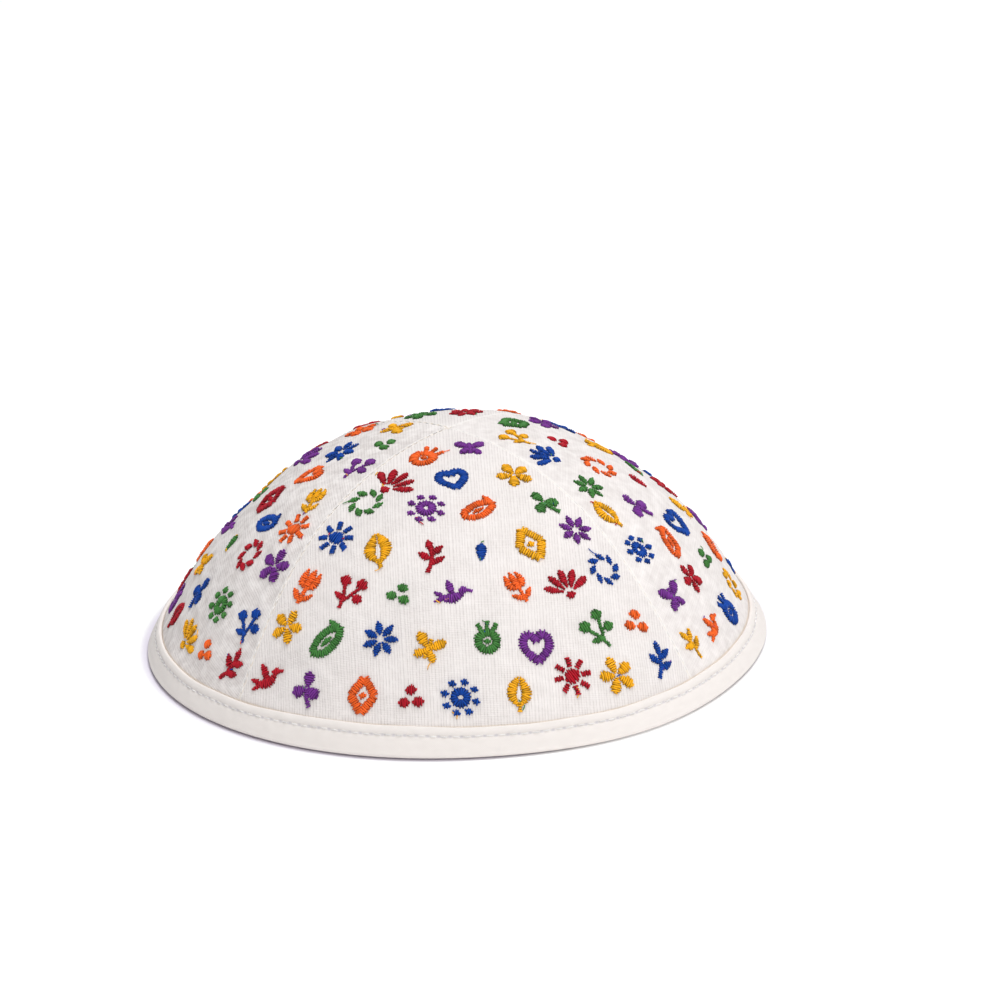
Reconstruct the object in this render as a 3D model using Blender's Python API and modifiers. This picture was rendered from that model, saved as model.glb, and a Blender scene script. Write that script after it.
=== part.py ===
"""Embroidered kippah: a skullcap of four sewn cloth panels with a folded binding round its rim.

Metres, +Z up. The cap rests on its rim, the origin is the rim's centre on the resting surface,
and the front panel faces -Y.
"""

import math

import bpy
from mathutils import Vector
from mathutils.geometry import interpolate_bezier

# Driving sizes
RIM_RADIUS = 0.0875  # outermost edge of the binding
CROWN_HEIGHT = 0.0594  # resting surface to the outside of the crown's top
CROWN_WALL = 0.0012  # panel cloth and its backing
BINDING_WIDTH = 0.0083  # along its slope
BINDING_SLOPE = math.radians(61.0)  # above the horizontal
BINDING_CLOTH = 0.0010  # each leg of the folded strip
HEM_THICKNESS = 0.0010  # cloth between the panels' lower edges and the resting surface
OUTER_FOLD = 0.0008  # radius of the fold at the rim's outer foot
INNER_FOLD = 0.0006  # radius of the fold at the rim's inner foot
EDGE_FOLD = 0.0004  # radius of the folds along the binding's upper edges

# Clearances between the sewn pieces
SEAM_GAP = 0.0003  # panel to panel
BINDING_GAP = 0.0003  # panel to binding, on each face and at its lower edge

# Crown's curve: the pull of each end's tangent, as a share of the panels' radius at the binding
TOP_PULL = 0.489
FOOT_PULL = 0.422

# Fineness
STEPS_PER_PANEL = 20
CROWN_ROWS = 14
FOLD_STEPS = 3
MERGE_DISTANCE = 0.00001

PANELS = [
    # name, azimuth in degrees
    ("panel_front", -90),
    ("panel_right", 0),
    ("panel_back", 90),
    ("panel_left", 180),
]
PANEL_ANGLE = 2 * math.pi / len(PANELS)

CLOTHS = {
    # name: base colour, roughness
    "panel_cloth": ((0.86, 0.83, 0.80, 1.0), 0.9),
    "binding_cloth": ((0.88, 0.84, 0.79, 1.0), 0.8),
}

# Depths into the rim's section from its outer face
CHANNEL_FACE = BINDING_CLOTH
CHANNEL_BACK = CHANNEL_FACE + BINDING_GAP + CROWN_WALL + BINDING_GAP
INNER_FACE = CHANNEL_BACK + BINDING_CLOTH

# Lengths up the rim's section from its outer corner
CHANNEL_FLOOR = (HEM_THICKNESS + CHANNEL_BACK * math.cos(BINDING_SLOPE)) / math.sin(BINDING_SLOPE)
INNER_FOOT = INNER_FACE / math.tan(BINDING_SLOPE)

# Where the outer face would meet the resting surface if the fold there were sharp
OUTER_CORNER = RIM_RADIUS + OUTER_FOLD * (1 / math.tan(BINDING_SLOPE / 2) - 1)

# How far each panel stands out from the cap's axis to open the seams
PANEL_STEP_OUT = SEAM_GAP / 2 / math.sin(PANEL_ANGLE / 2)


def clear_scene():
    for ob in list(bpy.data.objects):
        bpy.data.objects.remove(ob)


def cloth(name):
    colour, roughness = CLOTHS[name]
    material = bpy.data.materials.new(name)
    material.use_nodes = True
    shader = material.node_tree.nodes["Principled BSDF"]
    shader.inputs["Base Color"].default_value = colour
    shader.inputs["Roughness"].default_value = roughness
    shader.inputs["Metallic"].default_value = 0.0
    return material


def rim_section(along, depth):
    """The point of the rim's section that lies so far up its slope and so far in from its face."""
    radius = OUTER_CORNER - along * math.cos(BINDING_SLOPE) - depth * math.sin(BINDING_SLOPE)
    height = along * math.sin(BINDING_SLOPE) - depth * math.cos(BINDING_SLOPE)
    return Vector((radius, 0, height))


def rounded_corner(before, corner, after, radius):
    """The points of an arc that rounds one corner of an outline."""
    if radius == 0:
        return [corner]
    to_before = (before - corner).normalized()
    to_after = (after - corner).normalized()
    half_angle = to_before.angle(to_after) / 2
    inward = (to_before + to_after).normalized()
    centre = corner + inward * radius / math.sin(half_angle)
    reach = radius / math.tan(half_angle)
    start = (corner + to_before * reach - centre).normalized()
    end = (corner + to_after * reach - centre).normalized()
    return [centre + start.slerp(end, step / FOLD_STEPS) * radius for step in range(FOLD_STEPS + 1)]


def rounded_outline(corners):
    """A closed outline from rows of corner and fold radius."""
    points = []
    for i, (corner, radius) in enumerate(corners):
        before = corners[i - 1][0]
        after = corners[(i + 1) % len(corners)][0]
        points += rounded_corner(before, corner, after, radius)
    return points


def line_mesh(name, points, closed):
    edges = [(i, i + 1) for i in range(len(points) - 1)]
    if closed:
        edges.append((len(points) - 1, 0))
    mesh = bpy.data.meshes.new(name)
    mesh.from_pydata(points, edges, [])
    return mesh


def turn(ob, angle, steps):
    """Turns an object's line about its own Z axis."""
    screw = ob.modifiers.new("Turn", "SCREW")
    screw.axis = "Z"
    screw.angle = angle
    screw.steps = steps
    screw.render_steps = steps
    screw.use_merge_vertices = True
    screw.merge_threshold = MERGE_DISTANCE
    screw.use_smooth_shade = True


def crown_profile():
    """The panels' outer line, from the crown's top to the lower edge inside the binding."""
    step_out = Vector((PANEL_STEP_OUT, 0, 0))
    outer_face = CHANNEL_FACE + BINDING_GAP
    top = Vector((0, 0, CROWN_HEIGHT))
    foot = rim_section(BINDING_WIDTH, outer_face) - step_out
    up_slope = (rim_section(1, 0) - rim_section(0, 0)).normalized()
    top_handle = top + Vector((foot.x * TOP_PULL, 0, 0))
    foot_handle = foot + up_slope * foot.x * FOOT_PULL
    lower_edge = rim_section(CHANNEL_FLOOR + BINDING_GAP, outer_face) - step_out
    return interpolate_bezier(top, top_handle, foot_handle, foot, CROWN_ROWS) + [lower_edge]


def add_panels(collection, parent):
    """One gore for each quarter of the crown, its seams left open by the gap between neighbours."""
    mesh = line_mesh("panel", crown_profile(), closed=False)
    mesh.materials.append(cloth("panel_cloth"))
    for name, azimuth_deg in PANELS:
        azimuth = math.radians(azimuth_deg)
        panel = bpy.data.objects.new(name, mesh)
        panel.parent = parent
        panel.location.x = PANEL_STEP_OUT * math.cos(azimuth)
        panel.location.y = PANEL_STEP_OUT * math.sin(azimuth)
        panel.rotation_euler.z = azimuth - PANEL_ANGLE / 2
        collection.objects.link(panel)
        turn(panel, PANEL_ANGLE, STEPS_PER_PANEL)
        wall = panel.modifiers.new("Wall", "SOLIDIFY")
        wall.thickness = CROWN_WALL
        wall.offset = -1
        wall.use_even_offset = True


def add_rim_binding(collection, parent):
    """A strip folded round the panels' lower edges, flat where it meets the resting surface."""
    corners = [
        # corner, fold radius
        (rim_section(BINDING_WIDTH, 0), EDGE_FOLD),
        (rim_section(0, 0), OUTER_FOLD),
        (rim_section(INNER_FOOT, INNER_FACE), INNER_FOLD),
        (rim_section(BINDING_WIDTH, INNER_FACE), EDGE_FOLD),
        (rim_section(BINDING_WIDTH, CHANNEL_BACK), EDGE_FOLD),
        (rim_section(CHANNEL_FLOOR, CHANNEL_BACK), 0),
        (rim_section(CHANNEL_FLOOR, CHANNEL_FACE), 0),
        (rim_section(BINDING_WIDTH, CHANNEL_FACE), EDGE_FOLD),
    ]
    mesh = line_mesh("rim_binding", rounded_outline(corners), closed=True)
    mesh.materials.append(cloth("binding_cloth"))
    binding = bpy.data.objects.new("rim_binding", mesh)
    binding.parent = parent
    collection.objects.link(binding)
    turn(binding, 2 * math.pi, STEPS_PER_PANEL * len(PANELS))


def main():
    clear_scene()
    collection = bpy.data.collections.new("kippah")
    bpy.context.scene.collection.children.link(collection)
    cap = bpy.data.objects.new("kippah", None)
    collection.objects.link(cap)
    add_panels(collection, cap)
    add_rim_binding(collection, cap)
    bpy.context.view_layer.update()


main()
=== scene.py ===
"""Looks of an embroidered kippah: ribbed cotton panels, satin-stitch motifs, sewn seams and a
topstitched binding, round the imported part. Metres, +Z up, in the part's own frame.
"""

import math
from collections import namedtuple

import bpy
import numpy as np
from mathutils import Matrix, Vector
from mathutils.geometry import interpolate_bezier


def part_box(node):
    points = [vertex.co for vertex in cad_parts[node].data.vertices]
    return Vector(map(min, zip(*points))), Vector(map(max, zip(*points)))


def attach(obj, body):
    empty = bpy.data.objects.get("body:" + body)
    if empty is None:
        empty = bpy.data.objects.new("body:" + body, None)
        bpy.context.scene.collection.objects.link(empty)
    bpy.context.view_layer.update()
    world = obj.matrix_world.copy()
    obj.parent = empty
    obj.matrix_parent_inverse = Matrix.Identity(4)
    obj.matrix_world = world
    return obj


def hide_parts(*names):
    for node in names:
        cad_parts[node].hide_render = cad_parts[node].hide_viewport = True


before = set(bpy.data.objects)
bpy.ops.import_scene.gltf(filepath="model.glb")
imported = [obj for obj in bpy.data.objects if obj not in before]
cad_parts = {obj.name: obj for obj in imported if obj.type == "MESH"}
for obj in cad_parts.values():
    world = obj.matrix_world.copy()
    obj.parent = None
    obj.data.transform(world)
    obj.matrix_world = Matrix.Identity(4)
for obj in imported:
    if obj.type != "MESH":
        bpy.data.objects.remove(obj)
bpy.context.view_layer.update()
MM = 0.001

# The part's own sizes
RIM_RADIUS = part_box("rim_binding")[1].x
CROWN_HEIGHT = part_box("panel_front")[1].z
CROWN_WALL = 1.2 * MM
BINDING_WIDTH = 8.3 * MM
BINDING_SLOPE = math.radians(61.0)
BINDING_CLOTH = 1.0 * MM
BINDING_GAP = 0.3 * MM
HEM_THICKNESS = 1.0 * MM
OUTER_FOLD = 0.8 * MM
INNER_FOLD = 0.6 * MM
TOP_PULL = 0.489
FOOT_PULL = 0.422

PANELS = [
    # name, azimuth in degrees
    ("panel_front", -90),
    ("panel_right", 0),
    ("panel_back", 90),
    ("panel_left", 180),
]
CROSS_CUT = {
    # panel whose ribs run across it: how strongly they show, how much painted crumple shade it takes
    "panel_right": (0.4, 0.6),
    "panel_left": (0.8, 1.0),
}
LENGTHWISE_CUT = (1.0, 0.25)
HALF_PANEL = math.pi / len(PANELS)
PANEL_CELL = 1.25 * MM
PANEL_COLUMNS = round(2 * RIM_RADIUS * HALF_PANEL / PANEL_CELL)
RIB_PITCH = 0.80 * MM
CROSS_PITCH = 0.45 * MM
SEAM_ALLOWANCE = 6.5 * MM

# The cloth's own unevenness
SAG_HEIGHT = 0.26 * MM
CREASE_HEIGHT = 0.24 * MM
RIPPLE_HEIGHT = 0.055 * MM
ALLOWANCE_HEIGHT = 0.14 * MM  # the cloth is double beside a seam
TUCK_HEIGHT = 0.27 * MM  # where the binding holds the panels
SEAM_RIDGES = [
    # distance from the seam, half width, height on the panel's left and on its right
    (1.1 * MM, 0.7 * MM, 0.08 * MM, 0.08 * MM),
    (0.3 * MM, 0.45 * MM, -0.04 * MM, 0.20 * MM),
    (0.0, 0.25 * MM, -0.05 * MM, -0.05 * MM),
]
FOLD_LIFT = 0.5 * MM  # the binding rests on its inner fold, and its outer one stands off the table
EDGE_HEIGHT = 7 * MM  # of the binding's upper edge, above the table
SETTLED_HEIGHT = 0.5 * CROWN_HEIGHT  # above it the crown keeps its even shape
RIM_PUSHES = [
    # azimuth and half width in degrees, push outwards at the foot and at the binding's upper edge
    (-60, 20, 2.3 * MM, 2.1 * MM),
    (16, 25, -1.8 * MM, -2.2 * MM),
    (168, 24, -1.0 * MM, -1.2 * MM),
]
EDGE_RISES = [
    # azimuth and half width in degrees, rise of the binding's upper edge
    (-110, 24, 0.8 * MM),
    (0, 30, 0.9 * MM),
]
SWELLS = [
    # azimuth in degrees, arc from the top, half width, height
    (55, 24 * MM, 16 * MM, 0.8 * MM),
    (20, 50 * MM, 24 * MM, -0.7 * MM),
    (158, 70 * MM, 28 * MM, -1.9 * MM),
    (-135, 58 * MM, 22 * MM, 0.8 * MM),
]

# Embroidery
MOTIF_HALF = 4.7 * MM
MOTIF_SPACING = 13.0 * MM
ROWS = 7
FIRST_ROW = 17.5 * MM
SEAM_MARGIN = 6.8 * MM
BINDING_MARGIN = 8.0 * MM
STITCH_PITCH = 0.58 * MM
ZIGZAG = STITCH_PITCH / 9
LEAST_HALF = 0.22 * MM  # of a stroke's width
RAGGED = 0.09 * MM  # spread of the stitches' ends across a stroke
DRIFT = 0.035 * MM  # and along it
THREAD_RADIUS = 0.26 * MM
SATIN_HEIGHT = 0.42 * MM
STITCH_SIDES = 5
CORE_HEIGHT = 0.26 * MM
CORE_SIDES = 6
LAYER_STEP = 0.05 * MM  # strokes that cross lie on each other
LAYERS = 4
SMALL_MOTIF_SHARE = 0.1
SCATTER = 2.8 * MM
MOTIF_REACH = 30 * MM  # like motifs keep about this far apart
COLOUR_REACH = 17 * MM
LARGEST_TURN = 24  # degrees

# Sewing
TOPSTITCH_COUNT = 184
TOPSTITCH_DROP = 2.3 * MM  # below the binding's upper edge
TOPSTITCH_LENGTH = 0.62  # of the pitch
SEWING_RADIUS = 0.17 * MM
SEWING_SIDES = 6
SEAM_STITCH_PITCH = 2.5 * MM

THREADS = {
    # name: colour of the lit thread, linear
    "orange": (1.0, 0.14, 0.020),
    "gold": (0.90, 0.44, 0.010),
    "green": (0.060, 0.225, 0.048),
    "blue": (0.003, 0.060, 0.36),
    "crimson": (0.46, 0.008, 0.022),
    "purple": (0.19, 0.035, 0.29),
}

# Camera, fitted to the photograph's outline, rim and seams
CAMERA_AZIMUTH = math.radians(-0.88)
CAMERA_ELEVATION = math.radians(22.46)
CAMERA_DISTANCE = 9.0 * RIM_RADIUS
CAMERA_FOCAL_PX = 2786
CAMERA_PAN = math.radians(0.99)
CAMERA_TILT = math.radians(-2.59)
CAMERA_ROLL = math.radians(2.51)
PICTURE_PX = 1000
SENSOR_MM = 36.0

# Floor
# the floor's painted shade and painted glow are centred this far to the cap's left
PAINTED_SHADE_SHIFT = 1.0 * MM  # its shade shows more on the cap's left

rng = np.random.default_rng(18)


# Smooth steps and noise

def smooth_step(low, high, x):
    """Rises smoothly from 0 to 1 as x goes from low to high."""
    t = np.clip((x - low) / (high - low), 0, 1)
    return t * t * (3 - 2 * t)


def bell(x, width):
    return np.exp(-((x / width) ** 2))


def bell_round(azimuth, degrees, width):
    """A bell round the cap about an azimuth, both in degrees."""
    return bell((np.degrees(azimuth) - degrees + 180) % 360 - 180, width)


def wave_noise(seed, longest, shortest, count):
    """A smooth random field of the plane, about -1 to 1, from waves of those lengths."""
    source = np.random.default_rng(seed)
    angles = source.uniform(0, 2 * math.pi, count)
    lengths = np.exp(source.uniform(math.log(shortest), math.log(longest), count))
    phases = source.uniform(0, 2 * math.pi, count)

    def field(x, y):
        total = np.zeros(np.broadcast(x, y).shape)
        for angle, length, phase in zip(angles, lengths, phases):
            along = x * math.cos(angle) + y * math.sin(angle)
            total += np.sin(2 * math.pi * along / length + phase)
        return total / math.sqrt(count)

    return field


# The rim's section and the crown's curve, as in the part's source

CHANNEL_FACE = BINDING_CLOTH
CHANNEL_BACK = CHANNEL_FACE + BINDING_GAP + CROWN_WALL + BINDING_GAP
INNER_FACE = CHANNEL_BACK + BINDING_CLOTH
CHANNEL_FLOOR = (HEM_THICKNESS + CHANNEL_BACK * math.cos(BINDING_SLOPE)) / math.sin(BINDING_SLOPE)
INNER_FOOT = INNER_FACE / math.tan(BINDING_SLOPE)
OUTER_CORNER = RIM_RADIUS + OUTER_FOLD * (1 / math.tan(BINDING_SLOPE / 2) - 1)


def rim_section(along, depth):
    """Radius and height of the rim's section, so far up its slope and so far in from its face."""
    radius = OUTER_CORNER - along * math.cos(BINDING_SLOPE) - depth * math.sin(BINDING_SLOPE)
    height = along * math.sin(BINDING_SLOPE) - depth * math.cos(BINDING_SLOPE)
    return radius, height


def crown_curve():
    """Arc length from the top, radius, height and outward normal along the crown's outer line."""
    foot = Vector((*rim_section(BINDING_WIDTH, CHANNEL_FACE + BINDING_GAP), 0))
    edge = Vector((*rim_section(CHANNEL_FLOOR + BINDING_GAP, CHANNEL_FACE + BINDING_GAP), 0))
    top = Vector((0, CROWN_HEIGHT, 0))
    top_handle = top + Vector((foot.x * TOP_PULL, 0, 0))
    foot_handle = foot + (foot - edge).normalized() * foot.x * FOOT_PULL
    line = np.array(interpolate_bezier(top, top_handle, foot_handle, foot, 900))[:, :2]
    tuck = np.linspace(line[-1], np.array(edge)[:2], 40)[1:]
    line = np.concatenate([line, tuck])
    step = np.gradient(line, axis=0)
    step /= np.linalg.norm(step, axis=1, keepdims=True)
    arc = np.append(0, np.cumsum(np.linalg.norm(np.diff(line, axis=0), axis=1)))
    return arc, line, step, arc[-len(tuck) - 1]


ARC, LINE, STEP, FOOT_ARC = crown_curve()
DOME_DEPTH = CROWN_HEIGHT - np.interp(FOOT_ARC, ARC, LINE[:, 1])
DOME_RADIUS = (np.interp(FOOT_ARC, ARC, LINE[:, 0]) ** 2 + DOME_DEPTH**2) / (2 * DOME_DEPTH)


def along_crown(arc):
    """Radius, height and the outward normal's two shares at an arc length from the top."""
    radius = np.interp(arc, ARC, LINE[:, 0])
    height = np.interp(arc, ARC, LINE[:, 1])
    return radius, height, -np.interp(arc, ARC, STEP[:, 1]), np.interp(arc, ARC, STEP[:, 0])


def in_flat_cloth(arc, off):
    """Where a point of a panel was in the flat cloth, across and along the panel's centre line.

    Threads that cross the centre line at a right angle lie on the dome as great circles do.
    """
    radius, height, _, _ = along_crown(arc)
    across = DOME_RADIUS * np.arcsin(radius * np.sin(off) / DOME_RADIUS)
    tip = np.arctan2(radius * np.cos(off), height - CROWN_HEIGHT + DOME_RADIUS)
    tips = np.arctan2(LINE[:, 0], LINE[:, 1] - CROWN_HEIGHT + DOME_RADIUS)
    return across, np.interp(tip, tips, ARC)


def edge_rise(azimuth):
    """How far the binding's upper edge was sewn above its even line."""
    return sum(height * bell_round(azimuth, degrees, width) for degrees, width, height in EDGE_RISES)


def settle(points):
    """The rim and the crown's foot stand a little out of round, as soft cloth does."""
    settled = np.array(points, float)
    azimuth = np.arctan2(settled[..., 1], settled[..., 0])
    up = smooth_step(0, EDGE_HEIGHT, settled[..., 2])
    fade = 1 - smooth_step(EDGE_HEIGHT, SETTLED_HEIGHT, settled[..., 2])
    push = np.zeros_like(up)
    for degrees, width, at_foot, at_edge in RIM_PUSHES:
        push += bell_round(azimuth, degrees, width) * fade * (at_foot + (at_edge - at_foot) * up)
    settled[..., :2] *= (1 + push / RIM_RADIUS)[..., None]
    return settled


def turned(azimuth, outward, upward):
    """Points or directions of the section, turned about the cap's axis."""
    parts = np.broadcast_arrays(outward * np.cos(azimuth), outward * np.sin(azimuth), upward)
    return np.stack(parts, -1)


def on_curve(arc, azimuth):
    """Points of the crown's even curve, and their outward normals."""
    radius, height, outward, upward = along_crown(arc)
    return turned(azimuth, radius, height), turned(azimuth, outward, upward)


def on_crown(arc, azimuth, lift):
    """Points that stand so far off the settled crown, and their outward normals."""
    point, normal = on_curve(arc, azimuth)
    return settle(point + normal * np.asarray(lift)[..., None]), normal


def nearest_on_crown(points):
    """The arc length and azimuth of the crown's nearest point to each point near it."""
    azimuth = np.arctan2(points[..., 1], points[..., 0])
    flat = np.stack([np.hypot(points[..., 0], points[..., 1]), points[..., 2]], -1).reshape(-1, 2)
    coarse = slice(0, None, 4)
    line = LINE[coarse]
    found = np.concatenate([
        ((block[:, None] - line[None]) ** 2).sum(-1).argmin(1)
        for block in np.array_split(flat, max(1, len(flat) // 20000))
    ])
    ahead = ((flat - line[found]) * STEP[coarse][found]).sum(-1)
    return (ARC[coarse][found] + ahead).reshape(azimuth.shape), azimuth


# Motifs: strokes of satin stitch, in shares of a motif's half size

Stroke = namedtuple("Stroke", "points width shape closed")


def stroke(points, width, shape="band", closed=False):
    return Stroke(points, width, shape, closed)


def polar(radius, degrees, centre=(0, 0)):
    angle = math.radians(degrees)
    return (centre[0] + radius * math.cos(angle), centre[1] + radius * math.sin(angle))


def petals(count, inner, outer, width, shape="petal", first=90, turn=360, centre=(0, 0)):
    gaps = count if turn == 360 else count - 1
    angles = [first + turn * k / gaps for k in range(count)]
    return [stroke([polar(inner, a, centre), polar(outer, a, centre)], width, shape) for a in angles]


def dot(x, y, width):
    return stroke([(x - width / 2, y), (x + width / 2, y)], width, "disc")


def dots(count, radius, width, first=90):
    return [dot(*polar(radius, first + 360 * k / count), width) for k in range(count)]


def ring(x, y, radius, width):
    return stroke([polar(radius, a, (x, y)) for a in range(0, 360, 45)], width, "band", True)


def both_sides(strokes):
    return strokes + [s._replace(points=[(-x, y) for x, y in s.points]) for s in strokes]


def leaves_round(count, radius, length, width, slant):
    found = []
    for k in range(count):
        angle = 360 * k / count
        start = polar(radius, angle)
        found.append(stroke([start, polar(length, angle + slant, start)], width, "petal"))
    return found


HEART = [(0, -0.88), (-0.72, -0.12), (-0.74, 0.45), (-0.36, 0.72), (0, 0.36)]
CITRON = [(-0.72, -0.5), (-0.05, -0.52), (0.55, 0.0), (0.72, 0.6), (0.05, 0.56), (-0.55, 0.02)]

MOTIFS = {
    "daisy": petals(7, 0.26, 1.0, 0.46),
    "bloom": petals(5, 0.16, 0.95, 0.62, "drop"),
    "heart": both_sides([stroke(HEART, 0.54)]),
    "sprig": [
        stroke([(-0.2, -1.0), (0.02, -0.3), (0.0, 0.45)], 0.24),
        stroke([(0.0, -0.5), (0.68, -0.12)], 0.44, "petal"),
        stroke([(-0.04, -0.2), (-0.66, 0.22)], 0.44, "petal"),
        stroke([(0.04, 0.1), (0.58, 0.56)], 0.42, "petal"),
        stroke([(0.0, 0.3), (-0.18, 0.98)], 0.42, "petal"),
    ],
    "butterfly": both_sides([
        stroke([(0.06, 0.0), (0.82, 0.66)], 0.66, "drop"),
        stroke([(0.06, -0.1), (0.6, -0.66)], 0.5, "drop"),
    ]) + [stroke([(0, -0.6), (0, 0.5)], 0.24)],
    "clover": petals(3, 0.1, 0.84, 0.72, "drop") + [
        stroke([(0.0, -0.1), (0.1, -0.55), (0.34, -0.98)], 0.24),
    ],
    "pomegranate": [ring(0, -0.22, 0.54, 0.54), dot(0, -0.22, 0.34)] + petals(
        3, 0.62, 1.14, 0.26, "band", 62, 56, (0, -0.22)
    ),
    "lozenge": both_sides([
        stroke([(0.04, 0.92), (0.66, 0.04)], 0.5),
        stroke([(0.66, -0.04), (0.04, -0.92)], 0.5),
    ]) + [dot(0, 0, 0.36)],
    "berries": [
        stroke([(-0.52, 0.3), (-0.1, -0.4), (0.1, -1.0)], 0.2),
        stroke([(0.46, 0.5), (0.2, -0.2), (0.02, -0.6)], 0.2),
        dot(-0.55, 0.4, 0.62),
        dot(0.42, 0.62, 0.6),
        dot(0.66, -0.16, 0.56),
        stroke([(0.06, -0.55), (-0.62, -0.42)], 0.34, "petal"),
    ],
    "sun": [dot(0, 0, 0.9)] + petals(8, 0.58, 1.02, 0.3, "band", 22),
    "palmette": petals(5, 0.42, 1.5, 0.46, "drop", 28, 124, (0, -0.6)) + [dot(0, -0.7, 0.5)],
    "leaf": both_sides([stroke([(0.1, -0.72), (0.44, 0.0), (0.08, 0.92)], 0.62, "petal")]) + [
        stroke([(0.0, -0.6), (0.06, -1.05)], 0.22),
    ],
    "bird": [
        stroke([(-0.72, -0.22), (0.0, -0.2), (0.5, 0.12)], 0.66, "petal"),
        dot(0.52, 0.3, 0.46),
        stroke([(-0.05, 0.0), (-0.35, 0.82)], 0.46, "petal"),
        stroke([(-0.5, -0.2), (-1.02, 0.12)], 0.28, "petal"),
        stroke([(-0.5, -0.26), (-1.02, -0.4)], 0.28, "petal"),
        stroke([(0.66, 0.28), (0.98, 0.22)], 0.16),
    ],
    "tulip": both_sides([
        stroke([(0.04, -0.12), (0.42, 0.18), (0.36, 0.86)], 0.42, "petal"),
        stroke([(0.02, -0.86), (0.58, -0.36)], 0.34, "petal"),
    ]) + [
        stroke([(0, -0.98), (0, -0.1)], 0.22),
        stroke([(0, -0.15), (0, 0.95)], 0.5, "petal"),
    ],
    "wreath": leaves_round(8, 0.64, 0.56, 0.4, 66),
    "citron": [
        stroke(CITRON, 0.44, "band", True),
        stroke([(-0.24, -0.2), (0.24, 0.2)], 0.3, "petal"),
        stroke([(0.66, 0.55), (0.2, 1.06)], 0.36, "petal"),
    ],
    "rosette": [ring(0, 0, 0.36, 0.46)] + dots(8, 0.86, 0.38),
    "seeds": dots(3, 0.44, 0.58),
    "bud": [stroke([(0, -0.55), (0, 0.5)], 0.66, "drop")],
}
SMALL_MOTIFS = ("seeds", "bud")

SHAPES = {
    # name: share of the stroke's width at a share of its length
    "band": lambda t: np.ones_like(t),
    "petal": lambda t: 0.16 + 0.84 * np.sin(math.pi * t) ** 0.8,
    "drop": lambda t: np.where(
        t < 0.68,
        0.26 + 0.74 * np.sin(math.pi / 2 * t / 0.68),
        np.sqrt(1 - 0.92 * ((t - 0.68) / 0.32) ** 2),
    ),
    "disc": lambda t: np.sqrt(np.clip(1 - (2 * t - 1) ** 2, 0.05, 1)),
}


def smooth_path(points, closed):
    """A smooth line through a stroke's points."""
    p = np.array(points, float)
    if len(p) == 2:
        return p
    if closed:
        p = np.concatenate([p[-1:], p, p[:2]])
    else:
        p = np.concatenate([2 * p[:1] - p[1:2], p, 2 * p[-1:] - p[-2:-1]])
    t = np.linspace(0, 1, 13)[:-1, None]
    found = []
    for a, b, c, d in zip(p, p[1:], p[2:], p[3:]):
        bend = (2 * a - 5 * b + 4 * c - d) * t**2 + (3 * b - a - 3 * c + d) * t**3
        found.append(0.5 * (2 * b + (c - a) * t + bend))
    found.append(p[-2][None])
    return np.concatenate(found)


def stitch_places(one, size):
    """Where a stroke's stitches go in and come out, in metres in the motif's plane."""
    path = smooth_path(one.points, one.closed) * size
    lengths = np.append(0, np.cumsum(np.linalg.norm(np.diff(path, axis=0), axis=1)))
    count = max(3, round(lengths[-1] / STITCH_PITCH))
    at = np.linspace(0, lengths[-1], count + 1)
    if one.closed:
        at = at[:-1]
    centre = np.stack([np.interp(at, lengths, path[:, k]) for k in (0, 1)], -1)
    nearby = np.clip(np.stack([at - 0.1 * MM, at + 0.1 * MM]), 0, lengths[-1])
    ends = np.stack([np.interp(nearby, lengths, path[:, k]) for k in (0, 1)], -1)
    ahead = ends[1] - ends[0]
    ahead /= np.linalg.norm(ahead, axis=1, keepdims=True)
    across = np.stack([-ahead[:, 1], ahead[:, 0]], -1)
    half = one.width * size / 2 * SHAPES[one.shape](at / lengths[-1])
    half = np.maximum(half, LEAST_HALF)
    zigzag = ZIGZAG * np.where(np.arange(len(at)) % 2, 1, -1)
    ragged = rng.normal(0, RAGGED, (2, len(at)))
    drift = rng.normal(0, DRIFT, (2, len(at)))
    left = centre + across * (half + ragged[0])[:, None] + ahead * (drift[0] + zigzag)[:, None]
    right = centre - across * (half + ragged[1])[:, None] + ahead * (drift[1] - zigzag)[:, None]
    return centre, half, left, right


# Where the motifs go

Place = namedtuple("Place", "motif colour panel x arc size turn point east north")


def scatter(panel_index):
    """Motif centres on one panel, as arc length from the top and distance from the centre line."""
    source = np.random.default_rng(40 + panel_index)
    spots = []
    for arc in np.linspace(FIRST_ROW, FOOT_ARC - BINDING_MARGIN, ROWS):
        radius = along_crown(arc)[0]
        half = radius * HALF_PANEL - SEAM_MARGIN
        count = max(1, round(2 * half / MOTIF_SPACING + 0.45))
        for k in range(count):
            x = 0.0 if count == 1 else half * (2 * k / (count - 1) - 1)
            spots.append([x, arc])
    spots = np.array(spots) + source.uniform(-SCATTER, SCATTER, (len(spots), 2))
    for _ in range(40):
        away = spots[:, None] - spots[None]
        gap = np.linalg.norm(away, axis=-1) + np.eye(len(spots))
        push = np.clip(MOTIF_SPACING * 0.97 - gap, 0, None) * (1 - np.eye(len(spots)))
        spots += 0.25 * (away / gap[..., None] * push[..., None]).sum(1)
        spots[:, 1] = np.clip(spots[:, 1], FIRST_ROW - 2 * MM, FOOT_ARC - BINDING_MARGIN)
        half = along_crown(spots[:, 1])[0] * HALF_PANEL - SEAM_MARGIN
        spots[:, 0] = np.clip(spots[:, 0], -half, half)
    return spots


def least_used_near(spots, k, chosen, options, source, reach):
    """The option that is rarest among the neighbours that are already chosen."""
    gaps = np.linalg.norm(spots[:len(chosen)] - spots[k], axis=1)
    cost = {name: source.uniform(0, 0.6) for name in options}
    for name, gap in zip(chosen, gaps):
        cost[name] += math.exp(-((gap / reach) ** 2)) * 4 + 0.12
    return min(options, key=lambda name: cost[name])


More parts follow.
